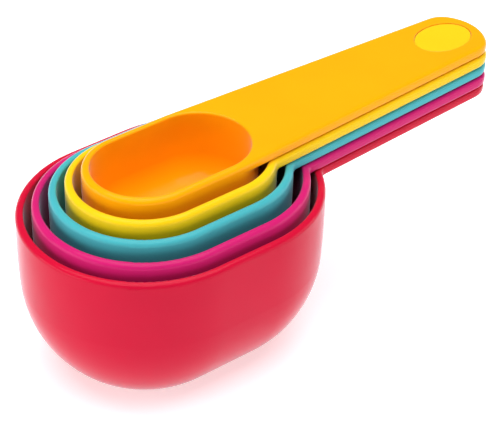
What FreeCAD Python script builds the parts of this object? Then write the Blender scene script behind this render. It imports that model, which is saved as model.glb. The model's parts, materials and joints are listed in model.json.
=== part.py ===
import FreeCAD, Part
import math
import os

import Sketcher

# A nested set of five measuring cups. Each cup is one moulding: an oblong bowl and a flat
# handle that is flush with its rim. An oval badge is let into the end of each handle.
# The frame's origin is the centre of the largest cup's foot, +X points along the handles,
# +Y across them and +Z up. The cups stack handle on handle, one pitch apart, and each lies
# a little out of line with the largest.

# Dimensions that every cup shares, in millimetres and degrees.
SHARED = [
    ("spine", 21.3, "distance between the centres of a bowl's two round ends"),
    ("wall", 2.5, "wall and floor thickness"),
    ("band", 6.0, "height of the upright part of a wall, below the rim"),
    ("corner", 5.0, "radius of the corner into a bowl's foot"),
    ("pitch", 3.9, "rise from one rim to the next in the stack"),
    ("handle_thick", 3.7, "thickness of a handle"),
    ("handle_root", 18.8, "radius of the circle that a handle's sides start from"),
    ("handle_taper", 3.3, "angle of each side of a handle to its centre line"),
    ("handle_end", 126.9, "distance from the bowl's centre to the handle's end"),
    ("tip_corner", 8.6, "radius of the two corners at a handle's end"),
    ("tip_crown", 15.5, "radius of the end between those corners"),
    ("top_round", 1.6, "rounding of a rim's and a handle's top edge"),
    ("lip_round", 0.7, "rounding of a rim's inner edge"),
    ("under_round", 1.2, "rounding of a handle's lower edge"),
    ("neck_round", 2.6, "fillet between a handle and its bowl"),
    ("badge_place", 112.6, "distance from the bowl's centre to the badge's centre"),
    ("badge_long", 10.6, "half length of the badge's recess"),
    ("badge_wide", 8.0, "half width of the badge's recess"),
    ("badge_deep", 1.3, "depth of the badge's recess"),
    ("badge_gap", 0.12, "gap around a badge, and how far it sits below the handle's top"),
    ("badge_round", 0.35, "rounding of a badge's upper edge"),
]

# Each cup, outermost first: outer end radius at the rim, height, radius of the curve that
# leads down the wall, radius of the rounder curve under it, end radius of the flat foot, and
# how far the cup lies out of line along and across the handles.
CUPS = [
    ("red_one_cup", "one_cup_badge", "red", 39.4, 54.6, 290.0, 38.9, 19.2, 0.0, 0.0),
    ("magenta_half_cup", "half_cup_badge", "magenta", 34.45, 33.6, 200.0, 20.0, 22.0, -0.25, -0.6),
    ("teal_third_cup", "third_cup_badge", "teal", 29.1, 31.3, 120.0, 18.0, 16.0, 0.0, -0.1),
    ("yellow_quarter_cup", "quarter_cup_badge", "yellow", 24.05, 31.6, 200.0, 10.0, 15.0, -0.2, -0.35),
    ("orange_eighth_cup", "eighth_cup_badge", "orange", 18.8, 26.0, 100.0, 12.0, 8.0, 0.0, 0.25),
]
CUP_SIZES = ("radius", "height", "sweep", "belly", "foot", "along", "aside")

ABOVE = 1.0  # how far the cutting profiles run past the rim, so that they cut cleanly
PAST_ROOT = 0.5  # an edge this far past a handle's root isn't the root's own closing edge
NEAR = 1e-3  # two lengths closer than this are equal

# Sketcher's numbers for the points of an edge and for a sketch's own axes.
START, END, MIDDLE = 1, 2, 3
X_AXIS, Y_AXIS = -1, -2


def make_sheet(document):
    """The spreadsheet that drives every sub-part."""
    sheet = document.addObject("Spreadsheet::Sheet", "dims")
    rows = list(SHARED)
    for node, _, colour, *sizes in CUPS:
        for word, size in zip(CUP_SIZES, sizes):
            rows.append((colour + "_" + word, size, word + " of " + node))
    for number, (alias, size, meaning) in enumerate(rows, 1):
        sheet.set("A%d" % number, alias)
        sheet.set("B%d" % number, str(size))
        sheet.set("C%d" % number, meaning)
        sheet.setAlias("B%d" % number, alias)
    document.recompute()
    return sheet


def origin_plane(body, role):
    """One of the body's own origin planes."""
    for feature in body.Origin.OriginFeatures:
        if feature.Role == role:
            return feature
    raise ValueError("no plane " + role)


def make_body(document, label, colour, rim_level):
    """A body whose own XY plane is the cup's rim."""
    body = document.addObject("PartDesign::Body", label)
    body.Label = label
    body.setExpression("Placement.Base.x", "dims." + colour + "_along")
    body.setExpression("Placement.Base.y", "dims." + colour + "_aside")
    body.setExpression("Placement.Base.z", rim_level)
    return body


def make_sketch(body, name, role, shift=None, turned=False):
    """A sketch on an origin plane. shift moves it along the plane's X axis, and turned
    faces it the other way."""
    sketch = body.newObject("Sketcher::SketchObject", body.Name + "_" + name)
    sketch.AttachmentSupport = (origin_plane(body, role), "")
    sketch.MapMode = "FlatFace"
    if turned:
        half_turn = FreeCAD.Rotation(FreeCAD.Vector(0, 1, 0), 180)
        sketch.AttachmentOffset = FreeCAD.Placement(FreeCAD.Vector(), half_turn)
    if shift:
        sketch.setExpression("AttachmentOffset.Base.x", shift)
    return sketch


def bind(sketch, constraint, name, expression):
    """Adds a named constraint and ties its value to the sheet."""
    number = sketch.addConstraint(constraint)
    sketch.renameConstraint(number, name)
    sketch.setExpression("Constraints." + name, expression)


def vector(x, y):
    return FreeCAD.Vector(x, y, 0)


def arc(centre, radius, start, end):
    """An arc of a circle, anticlockwise, with its angles in radians."""
    circle = Part.Circle(centre, FreeCAD.Vector(0, 0, 1), radius)
    return Part.ArcOfCircle(circle, start, end)


def turn_to(centre, point):
    """How far below a circle's rightmost point another point lies, in radians."""
    return math.atan2(centre.y - point.y, point.x - centre.x)


def crossing(first, first_reach, second, second_reach):
    """The crossing of two circles that lies above the line between their centres."""
    step = second - first
    span = step.Length
    ahead = (first_reach**2 - second_reach**2 + span**2) / (2 * span)
    aside = math.sqrt(first_reach**2 - ahead**2)
    unit = step / span
    return first + unit * ahead + vector(-unit.y, unit.x) * aside


def draw_half_profile(sketch, sheet, colour, inset, top):
    """Half of a bowl's upright section, from its centre line out. inset is 0 for the
    outside, and the wall's thickness for the cavity."""
    size = {word: float(getattr(sheet, colour + "_" + word)) for word in CUP_SIZES}
    gap = float(sheet.wall) if inset else 0.0
    radius = size["radius"] - gap
    height = size["height"] - gap
    sweep = size["sweep"] - gap
    belly = size["belly"] - gap
    corner = float(sheet.corner) - gap
    band = float(sheet.band)
    sweep_centre = vector(radius - sweep, -band)
    corner_centre = vector(size["foot"], corner - height)
    belly_centre = crossing(sweep_centre, sweep - belly, corner_centre, belly - corner)
    bend = turn_to(sweep_centre, belly_centre)
    curl = turn_to(belly_centre, corner_centre)

    line_top = sketch.addGeometry(Part.LineSegment(vector(0, top), vector(radius, top)))
    line_band = sketch.addGeometry(Part.LineSegment(vector(radius, top), vector(radius, -band)))
    arc_sweep = sketch.addGeometry(arc(sweep_centre, sweep, -bend, 0))
    arc_belly = sketch.addGeometry(arc(belly_centre, belly, -curl, -bend))
    arc_corner = sketch.addGeometry(arc(corner_centre, corner, -math.pi / 2, -curl))
    foot = vector(size["foot"], -height)
    line_floor = sketch.addGeometry(Part.LineSegment(foot, vector(0, -height)))
    line_axis = sketch.addGeometry(Part.LineSegment(vector(0, -height), vector(0, top)))

    joins = [
        ("Coincident", line_top, END, line_band, START),
        ("Tangent", line_band, END, arc_sweep, END),
        ("Tangent", arc_sweep, START, arc_belly, END),
        ("Tangent", arc_belly, START, arc_corner, END),
        ("Tangent", arc_corner, START, line_floor, START),
        ("Coincident", line_floor, END, line_axis, START),
        ("Coincident", line_axis, END, line_top, START),
        ("PointOnObject", line_axis, START, Y_AXIS),
        ("PointOnObject", line_axis, END, Y_AXIS),
        ("Horizontal", line_top),
        ("Vertical", line_band),
        ("Horizontal", line_floor),
    ]
    for join in joins:
        sketch.addConstraint(Sketcher.Constraint(*join))
    if top:
        rise = Sketcher.Constraint("DistanceY", X_AXIS, START, line_top, START, top)
    else:
        rise = Sketcher.Constraint("PointOnObject", line_top, END, X_AXIS)
    sketch.addConstraint(rise)

    less = " - dims.wall" if inset else ""
    prefix = "dims." + colour + "_"
    sizes = [
        ("radius", prefix + "radius" + less, "DistanceX", X_AXIS, START, line_top, END, radius),
        ("band", "dims.band", "DistanceY", line_band, END, X_AXIS, START, band),
        ("height", prefix + "height" + less, "DistanceY", line_floor, END, X_AXIS, START, height),
        ("foot", prefix + "foot", "DistanceX", X_AXIS, START, line_floor, START, size["foot"]),
        ("sweep", prefix + "sweep" + less, "Radius", arc_sweep, sweep),
        ("belly", prefix + "belly" + less, "Radius", arc_belly, belly),
        ("corner", "dims.corner" + less, "Radius", arc_corner, corner),
    ]
    for name, expression, *constraint in sizes:
        bind(sketch, Sketcher.Constraint(*constraint), name, expression)


def draw_handle(sketch, sheet):
    """A handle's outline: two sides that taper to a crowned end. Its root lies inside the
    bowl, where the sides touch the root circle."""
    centre = vector(float(sheet.spine) / 2, 0)
    root = float(sheet.handle_root)
    taper = math.radians(float(sheet.handle_taper))
    corner = float(sheet.tip_corner)
    crown = float(sheet.tip_crown)
    crown_centre = vector(float(sheet.handle_end) - crown, 0)

    # A corner's centre is crown - corner away from the crown's centre, and corner inside
    # the handle's side.
    normal = vector(math.sin(taper), math.cos(taper))
    offset = root - corner - (crown_centre - centre).dot(normal)
    along = math.sqrt((crown - corner) ** 2 - offset**2)
    corner_centre = crown_centre + normal * offset + vector(normal.y, -normal.x) * along
    side_start = centre + normal * root
    side_end = corner_centre + normal * corner
    swing = math.atan2(corner_centre.y, corner_centre.x - crown_centre.x)

    def mirrored(point):
        return vector(point.x, -point.y)

    upper = sketch.addGeometry(Part.LineSegment(side_start, side_end))
    upper_corner = sketch.addGeometry(arc(corner_centre, corner, swing, math.pi / 2 - taper))
    end_arc = sketch.addGeometry(arc(crown_centre, crown, -swing, swing))
    lower_corner = sketch.addGeometry(
        arc(mirrored(corner_centre), corner, taper - math.pi / 2, -swing)
    )
    lower = sketch.addGeometry(Part.LineSegment(mirrored(side_end), mirrored(side_start)))
    closing = sketch.addGeometry(Part.LineSegment(mirrored(side_start), side_start))
    root_circle = sketch.addGeometry(
        Part.Circle(centre, FreeCAD.Vector(0, 0, 1), root), True
    )
    joins = [
        ("Tangent", upper, END, upper_corner, END),
        ("Tangent", upper_corner, START, end_arc, END),
        ("Tangent", end_arc, START, lower_corner, END),
        ("Tangent", lower_corner, START, lower, START),
        ("Coincident", lower, END, closing, START),
        ("Coincident", closing, END, upper, START),
        ("PointOnObject", root_circle, MIDDLE, X_AXIS),
        ("PointOnObject", end_arc, MIDDLE, X_AXIS),
        ("Tangent", upper, START, root_circle),
        ("Symmetric", upper, START, lower, END, X_AXIS),
        ("Symmetric", upper, END, lower, START, X_AXIS),
    ]
    for join in joins:
        sketch.addConstraint(Sketcher.Constraint(*join))
    bind(
        sketch,
        Sketcher.Constraint("DistanceX", X_AXIS, START, root_circle, MIDDLE, centre.x),
        "root_place",
        "dims.spine / 2",
    )
    bind(
        sketch,
        Sketcher.Constraint("Radius", root_circle, root),
        "root",
        "dims.handle_root",
    )
    bind(
        sketch,
        Sketcher.Constraint("Angle", upper, START, X_AXIS, START, taper),
        "taper",
        "dims.handle_taper",
    )
    bind(
        sketch,
        Sketcher.Constraint("Radius", upper_corner, corner),
        "corner",
        "dims.tip_corner",
    )
    bind(
        sketch,
        Sketcher.Constraint("Radius", end_arc, crown),
        "crown",
        "dims.tip_crown",
    )
    bind(
        sketch,
        Sketcher.Constraint("DistanceX", X_AXIS, START, end_arc, MIDDLE, crown_centre.x),
        "end_place",
        "dims.handle_end - dims.tip_crown",
    )


def draw_badge(sketch, sheet, inset):
    """The badge's oval, or with inset the smaller oval of the badge itself."""
    gap = float(sheet.badge_gap) if inset else 0.0
    half_long = float(sheet.badge_long) - gap
    half_wide = float(sheet.badge_wide) - gap
    centre = vector(float(sheet.badge_place), 0)
    oval = Part.Ellipse(centre + vector(half_long, 0), centre + vector(0, half_wide), centre)
    outline = sketch.addGeometry(oval)
    sketch.exposeInternalGeometry(outline)
    long_axis, wide_axis = outline + 1, outline + 2
    less = " - 2 * dims.badge_gap" if inset else ""
    sketch.addConstraint(Sketcher.Constraint("PointOnObject", outline, MIDDLE, X_AXIS))
    sketch.addConstraint(Sketcher.Constraint("Horizontal", long_axis))
    bind(
        sketch,
        Sketcher.Constraint("DistanceX", X_AXIS, START, outline, MIDDLE, centre.x),
        "place",
        "dims.badge_place",
    )
    bind(
        sketch,
        Sketcher.Constraint("Distance", long_axis, 2 * half_long),
        "length",
        "2 * dims.badge_long" + less,
    )
    bind(
        sketch,
        Sketcher.Constraint("Distance", wide_axis, 2 * half_wide),
        "width",
        "2 * dims.badge_wide" + less,
    )


def extrude(body, kind, name, sketch, length, symmetric=False):
    """A Pad or a Pocket of one sketch. A one-sided Pad goes down, into the material."""
    feature = body.newObject("PartDesign::" + kind, body.Name + "_" + name)
    feature.Profile = sketch
    feature.SideType = "Symmetric" if symmetric else "One side"
    feature.setExpression("Length", length)
    feature.Reversed = kind == "Pad" and not symmetric
    sketch.Visibility = False
    return feature


def turn_half(body, kind, name, sketch):
    """Half a turn of one sketch about its own upright axis, centred on the sketch."""
    feature = body.newObject("PartDesign::" + kind, body.Name + "_" + name)
    feature.Profile = sketch
    feature.ReferenceAxis = (sketch, ["V_Axis"])
    feature.Angle = 180
    feature.Midplane = True
    return feature


def round_edges(body, name, wanted, radius):
    """Fillets the edges of the body that the test picks."""
    base = body.Tip
    body.Document.recompute()
    edges = base.Shape.Edges
    names = ["Edge%d" % (number + 1) for number, edge in enumerate(edges) if wanted(edge)]
    if not names:
        raise ValueError("no edges for " + body.Name + " " + name)
    fillet = body.newObject("PartDesign::Fillet", body.Name + "_" + name)
    fillet.Base = (base, names)
    fillet.setExpression("Radius", radius)
    return fillet


def add_bowl(body, sheet, colour, inside):
    """Adds a bowl's outside, or cuts its cavity: a straight middle and two round ends,
    all from the same half profile."""
    turn_kind = "Groove" if inside else "Revolution"
    straight_kind = "Pocket" if inside else "Pad"
    part = "cavity" if inside else "bowl"
    top = ABOVE if inside else 0.0
    for side, turned in (("left", True), ("right", False)):
        shift = "-dims.spine / 2" if turned else "dims.spine / 2"
        section = make_sketch(body, part + "_end_" + side, "XZ_Plane", shift, turned)
        draw_half_profile(section, sheet, colour, inside, top)
        turn_half(body, turn_kind, part + "_turn_" + side, section)
    for side, turned in (("near", True), ("far", False)):
        section = make_sketch(body, part + "_side_" + side, "YZ_Plane", None, turned)
        draw_half_profile(section, sheet, colour, inside, top)
        extrude(body, straight_kind, part + "_run_" + side, section, "dims.spine", True)


def lies_level(edge, level):
    """Whether an edge lies in the plane at this height, in the body's own frame."""
    box = edge.BoundBox
    return abs(box.ZMin - level) < NEAR and abs(box.ZMax - level) < NEAR


def edge_is_in(edge, others):
    return any(edge.isSame(other) for other in others)


def local_shape(body):
    """The body's present shape in its own frame."""
    body.Document.recompute()
    return body.Tip.Shape


def rim_face(body):
    """The level face that the rim's and the handle's top share."""
    level = [
        face
        for face in local_shape(body).Faces
        if lies_level(face, 0.0) and isinstance(face.Surface, Part.Plane)
    ]
    return max(level, key=lambda face: face.Area)


def is_under_edge(edge, sheet):
    """Whether an edge bounds a handle's underside, its root's closing edge left out."""
    lean = math.sin(math.radians(float(sheet.handle_taper)))
    root_end = float(sheet.spine) / 2 + float(sheet.handle_root) * lean
    past_root = edge.CenterOfMass.x > root_end + PAST_ROOT
    return past_root and lies_level(edge, -float(sheet.handle_thick))


def is_neck_edge(edge, sheet, colour):
    """Whether an edge lies where the handle meets the bowl's outside."""
    centre = float(sheet.spine) / 2
    radius = float(getattr(sheet, colour + "_radius"))
    samples = edge.discretize(3)
    on_wall = all(abs(math.hypot(at.x - centre, at.y) - radius) < NEAR for at in samples)
    lowest = edge.BoundBox.ZMin
    return on_wall and -float(sheet.handle_thick) - NEAR < lowest < -NEAR


def make_cup(document, sheet, node, colour, level):
    """One cup: handle, bowl, neck, cavity, rounded edges and the badge's recess."""
    rim_level = "dims.red_height + %d * dims.pitch" % level
    body = make_body(document, node, colour, rim_level)

    outline = make_sketch(body, "handle_outline", "XY_Plane")
    draw_handle(outline, sheet)
    extrude(body, "Pad", "handle", outline, "dims.handle_thick")
    round_edges(body, "under", lambda edge: is_under_edge(edge, sheet), "dims.under_round")

    add_bowl(body, sheet, colour, inside=False)
    round_edges(
        body, "neck", lambda edge: is_neck_edge(edge, sheet, colour), "dims.neck_round"
    )
    add_bowl(body, sheet, colour, inside=True)

    rim = rim_face(body)
    outer_edges = rim.OuterWire.Edges
    inner_edges = [edge for edge in rim.Edges if not edge_is_in(edge, outer_edges)]
    lip = [edge.CenterOfMass for edge in inner_edges]
    round_edges(body, "top", lambda edge: edge_is_in(edge, outer_edges), "dims.top_round")
    round_edges(
        body,
        "lip",
        lambda edge: any(edge.CenterOfMass.isEqual(place, NEAR) for place in lip),
        "dims.lip_round",
    )

    recess = make_sketch(body, "recess_outline", "XY_Plane")
    draw_badge(recess, sheet, inset=False)
    extrude(body, "Pocket", "recess", recess, "dims.badge_deep")
    return body


def make_badge(document, sheet, node, colour, level):
    """One badge: a thin oval that fills the recess in its handle."""
    rim_level = "dims.red_height + %d * dims.pitch - dims.badge_gap" % level
    body = make_body(document, node, colour, rim_level)
    outline = make_sketch(body, "outline", "XY_Plane")
    draw_badge(outline, sheet, inset=True)
    extrude(body, "Pad", "plate", outline, "dims.badge_deep - dims.badge_gap")
    round_edges(body, "edge", lambda edge: lies_level(edge, 0.0), "dims.badge_round")
    return body


def check_document(document):
    """Stops if any object failed to recompute."""
    for item in document.Objects:
        if "Invalid" in item.State or "Error" in item.State:
            raise RuntimeError(item.Name + " failed: " + ", ".join(item.State))


def write_parts(bodies):
    """Writes each sub-part, once all of them are single valid solids."""
    os.makedirs("parts", exist_ok=True)
    for body in bodies:
        shape = body.Shape
        if shape.isNull() or not shape.isValid() or len(shape.Solids) != 1:
            raise RuntimeError(body.Label + " has no single valid solid")
        print(body.Label, "volume %.2f" % shape.Volume, "box", shape.BoundBox)
    for body in bodies:
        body.Shape.exportStep("parts/" + body.Label + ".step")


def main():
    document = FreeCAD.newDocument("measuring_cups")
    sheet = make_sheet(document)
    bodies = []
    for level, (node, badge, colour, *_) in enumerate(CUPS):
        bodies.append(make_cup(document, sheet, node, colour, level))
        bodies.append(make_badge(document, sheet, badge, colour, level))
    document.recompute()
    check_document(document)
    write_parts(bodies)


main()
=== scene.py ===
import json
import math

import bpy
from mathutils import Matrix, Vector


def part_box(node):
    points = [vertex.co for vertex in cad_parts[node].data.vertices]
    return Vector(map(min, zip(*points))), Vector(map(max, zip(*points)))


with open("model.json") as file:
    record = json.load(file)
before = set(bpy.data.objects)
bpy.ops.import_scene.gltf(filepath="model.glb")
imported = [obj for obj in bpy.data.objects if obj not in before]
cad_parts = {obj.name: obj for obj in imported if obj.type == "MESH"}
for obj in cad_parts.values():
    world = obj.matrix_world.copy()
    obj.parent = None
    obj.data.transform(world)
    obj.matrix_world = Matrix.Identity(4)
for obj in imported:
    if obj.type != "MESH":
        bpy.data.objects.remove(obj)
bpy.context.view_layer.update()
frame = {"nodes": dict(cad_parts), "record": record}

# Each plastic's colour in linear light, by the record's material slot.
COLOURS = {
    "red": (0.60, 0.006, 0.036),
    "magenta": (0.60, 0.014, 0.15),
    "teal": (0.065, 0.42, 0.47),
    "yellow": (0.88, 0.57, 0.008),
    "orange": (1.0, 0.40, 0.002),
}
PLASTIC_IOR = 1.5
SHINE = 0.1  # specular level; 0.5 is plain plastic
GLOSS = (0.12, 0.20)  # roughness, glossiest and dullest
CLOUD_DARK = 0.96  # the colour's darkest clouding
PAINTED_SHEEN, PAINTED_SHEEN_ROUGHNESS = 0.25, 0.3  # painted sheen: a pale bluish reflection added at slanting angles, standing in for reflected light
# bluish colour of the painted sheen, the colour of the reflected light it stands in for
PAINTED_SHEEN_TINT = (0.7, 0.88, 1.0, 1.0)

# Edge wear: the most of it, what it adds, and how closely the smoothed and the true
# surface directions match at a fully rubbed edge and on a smooth surface.
RUB_MOST = 0.5
RUBBED_WHITE = 0.06
RUBBED_ROUGHNESS = 0.15
EDGE_MATCH, SMOOTH_MATCH = 0.90, 0.995

# Sizes in metres of what varies over the surface, and each noise's detail.
CLOUD_SIZE, CLOUD_DETAIL = 0.025, 2.0
GLOSS_SIZE, GLOSS_DETAIL = 0.01, 3.0
RUB_SIZE, RUB_DETAIL, RUB_REACH = 0.004, 4.0, 0.0008
WAVE_SIZE, WAVE_DETAIL, WAVE_HEIGHT, WAVE_STRENGTH = 0.02, 1.0, 0.0002, 0.4
SKIN_SIZE, SKIN_DETAIL, SKIN_HEIGHT, SKIN_STRENGTH = 0.0006, 2.0, 0.00001, 0.25
NOISE_LOW, NOISE_HIGH = 0.25, 0.75  # nearly all of a noise's values lie between these

# Floor: its half width, how far it lies below the cups, and its turned-up edge.
FLOOR_HALF = 3.0
FLOOR_DROP = 0.0002
EDGE_HALF, EDGE_HEIGHT = 3.3, 0.5
PAPER_COLOUR = (0.75, 0.77, 0.80, 1.0)
PAPER_ROUGHNESS = 0.9
PAPER_SHINE = 0.1
PAPER_GLOW = 0.57

# Light: each softbox has a place, a size, a power in watts and the point it faces.
WHITE = (1, 1, 1, 1)
WORLD_GLOW = 0.08
CUPS_MIDDLE = (0.03, 0, 0.03)
SOFTBOXES = {
    "top_softbox": ((-0.03, -0.03, 1.6), (1.9, 1.9), 42, (-0.03, -0.03, 0)),
    "left_softbox": ((-0.85, 0.25, 0.22), (0.8, 0.4), 3.0, CUPS_MIDDLE),
    "right_softbox": ((0.8, -0.6, 0.22), (0.8, 0.4), 2.2, CUPS_MIDDLE),
}

# Camera: the angles in degrees, then the point looked at, measured from the red rim.
CAMERA_ANGLES = (-39.56, 35.5, -1.16)  # azimuth, elevation, roll
CAMERA_DISTANCE = 0.715
LENS, SENSOR = 160.3, 36
AIM_X, AIM_Y, AIM_BELOW_RIM = 0.0321, 0.0009, 0.0203


def node(tree, kind, **settings):
    """Adds a shader node; a setting is an attribute, or an input's default value."""
    made = tree.nodes.new(kind)
    for key, value in settings.items():
        if hasattr(made, key):
            setattr(made, key, value)
        else:
            made.inputs[key.replace("_", " ")].default_value = value
    return made


def noise(tree, where, size, detail):
    """Noise whose lumps are about size metres across."""
    made = node(tree, "ShaderNodeTexNoise", Scale=1 / size, Detail=detail)
    tree.links.new(where, made.inputs["Vector"])
    return made.outputs["Fac"]


def spread(tree, value, low, high, start=NOISE_LOW, end=NOISE_HIGH):
    """Maps start...end to low...high, with no corners at either end."""
    made = node(
        tree,
        "ShaderNodeMapRange",
        interpolation_type="SMOOTHERSTEP",
        From_Min=start,
        From_Max=end,
        To_Min=low,
        To_Max=high,
    )
    tree.links.new(value, made.inputs["Value"])
    return made.outputs["Result"]


def worn_edge(tree):
    """0 on a smooth surface, and up to 1 where its edges are rubbed."""
    eased = node(tree, "ShaderNodeBevel", samples=4, Radius=RUB_REACH)
    plain = node(tree, "ShaderNodeNewGeometry")
    match = node(tree, "ShaderNodeVectorMath", operation="DOT_PRODUCT")
    tree.links.new(eased.outputs[0], match.inputs[0])
    tree.links.new(plain.outputs["Normal"], match.inputs[1])
    return spread(tree, match.outputs["Value"], 1.0, 0.0, EDGE_MATCH, SMOOTH_MATCH)


def plastic(name, colour):
    """Glossy moulded plastic: faint clouding of the colour, uneven gloss, a fine moulded
    skin, and edges rubbed a little paler and duller."""
    material = bpy.data.materials.new(name)
    material.use_nodes = True
    tree = material.node_tree
    tree.nodes.clear()
    output = node(tree, "ShaderNodeOutputMaterial")
    shader = node(
        tree,
        "ShaderNodeBsdfPrincipled",
        IOR=PLASTIC_IOR,
        Specular_IOR_Level=SHINE,
        # painted sheen: a pale bluish reflection at slanting angles, standing in for
        # reflected light
        Sheen_Weight=PAINTED_SHEEN,
        Sheen_Roughness=PAINTED_SHEEN_ROUGHNESS,
        Sheen_Tint=PAINTED_SHEEN_TINT,
    )
    tree.links.new(shader.outputs[0], output.inputs["Surface"])
    where = node(tree, "ShaderNodeTexCoord").outputs["Object"]

    patches = spread(tree, noise(tree, where, RUB_SIZE, RUB_DETAIL), 0.0, RUB_MOST)
    rubbing = node(tree, "ShaderNodeMath", operation="MULTIPLY")
    tree.links.new(worn_edge(tree), rubbing.inputs[0])
    tree.links.new(patches, rubbing.inputs[1])

    clouded = node(tree, "ShaderNodeVectorMath", operation="SCALE")
    clouded.inputs[0].default_value = colour
    cloud = spread(tree, noise(tree, where, CLOUD_SIZE, CLOUD_DETAIL), CLOUD_DARK, 1.0)
    tree.links.new(cloud, clouded.inputs["Scale"])
    paler = [c + (1 - c) * RUBBED_WHITE for c in colour] + [1]
    tinted = node(tree, "ShaderNodeMix", data_type="RGBA")
    tinted.inputs["B"].default_value = paler
    tree.links.new(rubbing.outputs[0], tinted.inputs["Factor"])
    tree.links.new(clouded.outputs[0], tinted.inputs["A"])
    tree.links.new(tinted.outputs["Result"], shader.inputs["Base Color"])

    gloss = spread(tree, noise(tree, where, GLOSS_SIZE, GLOSS_DETAIL), *GLOSS)
    dulled = node(tree, "ShaderNodeMath", operation="MULTIPLY_ADD")
    tree.links.new(rubbing.outputs[0], dulled.inputs[0])
    dulled.inputs[1].default_value = RUBBED_ROUGHNESS
    tree.links.new(gloss, dulled.inputs[2])
    tree.links.new(dulled.outputs[0], shader.inputs["Roughness"])

    wave = node(tree, "ShaderNodeBump", Strength=WAVE_STRENGTH, Distance=WAVE_HEIGHT)
    tree.links.new(noise(tree, where, WAVE_SIZE, WAVE_DETAIL), wave.inputs["Height"])
    skin = node(tree, "ShaderNodeBump", Strength=SKIN_STRENGTH, Distance=SKIN_HEIGHT)
    tree.links.new(noise(tree, where, SKIN_SIZE, SKIN_DETAIL), skin.inputs["Height"])
    tree.links.new(wave.outputs[0], skin.inputs["Normal"])
    tree.links.new(skin.outputs[0], shader.inputs["Normal"])
    return material


def lay_floor():
    """A pale, faintly glowing paper sheet under the cups, turned up at its far edges."""
    corners = [(-1, -1), (1, -1), (1, 1), (-1, 1)]
    points = [
        (x * half, y * half, height)
        for half, height in ((FLOOR_HALF, -FLOOR_DROP), (EDGE_HALF, EDGE_HEIGHT))
        for x, y in corners
    ]
    faces = [(0, 1, 2, 3), (0, 1, 5, 4), (1, 2, 6, 5), (2, 3, 7, 6), (3, 0, 4, 7)]
    sheet = bpy.data.meshes.new("floor")
    sheet.from_pydata(points, [], faces)
    floor = bpy.data.objects.new("floor", sheet)
    bpy.context.scene.collection.objects.link(floor)
    paper = bpy.data.materials.new("floor_paper")
    paper.use_nodes = True
    inputs = paper.node_tree.nodes["Principled BSDF"].inputs
    inputs["Base Color"].default_value = PAPER_COLOUR
    inputs["Roughness"].default_value = PAPER_ROUGHNESS
    inputs["Specular IOR Level"].default_value = PAPER_SHINE
    inputs["Emission Color"].default_value = WHITE
    inputs["Emission Strength"].default_value = PAPER_GLOW
    sheet.materials.append(paper)


def turned_to(place, aim):
    """The rotation that points an object's -Z from place at aim."""
    return (Vector(place) - Vector(aim)).to_track_quat("Z", "Y").to_euler()


def hang_softbox(name, place, size, power, aim):
    light = bpy.data.lights.new(name, "AREA")
    light.shape = "RECTANGLE"
    light.size, light.size_y = size
    light.energy = power
    lamp = bpy.data.objects.new(name, light)
    lamp.location = place
    lamp.rotation_euler = turned_to(place, aim)
    bpy.context.scene.collection.objects.link(lamp)


def set_up_camera():
    azimuth, elevation, roll = (math.radians(angle) for angle in CAMERA_ANGLES)
    level = math.cos(elevation)
    back = Vector(
        (math.sin(azimuth) * level, -math.cos(azimuth) * level, math.sin(elevation))
    )
    right = Vector((0, 0, 1)).cross(back).normalized()
    right = right * math.cos(roll) - back.cross(right) * math.sin(roll)
    turn = Matrix((right, back.cross(right), back)).transposed().to_4x4()
    red_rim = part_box("red_one_cup")[1][2]
    aim = Vector((AIM_X, AIM_Y, red_rim - AIM_BELOW_RIM))
    lens = bpy.data.cameras.new("camera")
    lens.lens, lens.sensor_width = LENS, SENSOR
    camera = bpy.data.objects.new("camera", lens)
    camera.matrix_world = Matrix.Translation(aim + back * CAMERA_DISTANCE) @ turn
    bpy.context.scene.collection.objects.link(camera)
    bpy.context.scene.camera = camera
    bpy.context.scene.view_settings.view_transform = "Standard"


def light_world():
    world = bpy.data.worlds.new("studio")
    world.use_nodes = True
    inputs = world.node_tree.nodes["Background"].inputs
    inputs["Color"].default_value = WHITE
    inputs["Strength"].default_value = WORLD_GLOW
    bpy.context.scene.world = world


plastics = {slot: plastic(slot + "_plastic", colour) for slot, colour in COLOURS.items()}
for part in frame["record"]["subparts"]:
    shown = frame["nodes"][part["node"]]
    shown.material_slots[0].material = plastics[part["material_slot"]]
lay_floor()
for name, softbox in SOFTBOXES.items():
    hang_softbox(name, *softbox)
light_world()
set_up_camera()
